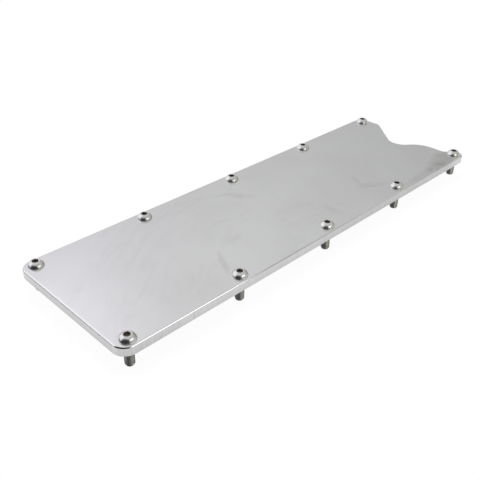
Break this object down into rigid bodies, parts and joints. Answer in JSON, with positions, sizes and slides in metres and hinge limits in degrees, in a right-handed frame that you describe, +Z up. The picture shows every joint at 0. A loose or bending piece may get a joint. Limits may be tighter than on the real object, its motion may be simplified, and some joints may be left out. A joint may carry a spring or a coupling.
{
  "type": "valley cover",
  "caption": "Long flat engine valley cover plate with a bevelled top edge and a lopsided scalloped rear end, domed hex-socket screws along both sides and a seal cord underneath.",
  "frame": {"origin": "middle of the screw pattern, on the underside of the plate", "axes": "+X along the cover towards its scalloped rear end, +Y towards the left bank, +Z up out of the polished face; the underside is z = 0"},
  "size_m": [0.4682, 0.144, 0.0284],
  "materials": {
    "polished_aluminium": "machined and polished to a soft mirror",
    "stainless_steel": "polished heads, plain threads",
    "seal_rubber": "matt black moulded cord"
  },
  "bodies": {
    "root": {"cover_plate": "polished_aluminium", "seal_cord": "seal_rubber", "screw_left_1": "stainless_steel", "screw_left_2": "stainless_steel", "screw_left_3": "stainless_steel", "screw_left_4": "stainless_steel", "screw_left_5": "stainless_steel", "screw_right_1": "stainless_steel", "screw_right_2": "stainless_steel", "screw_right_3": "stainless_steel", "screw_right_4": "stainless_steel", "screw_right_5": "stainless_steel"}
  },
  "joints": []
}
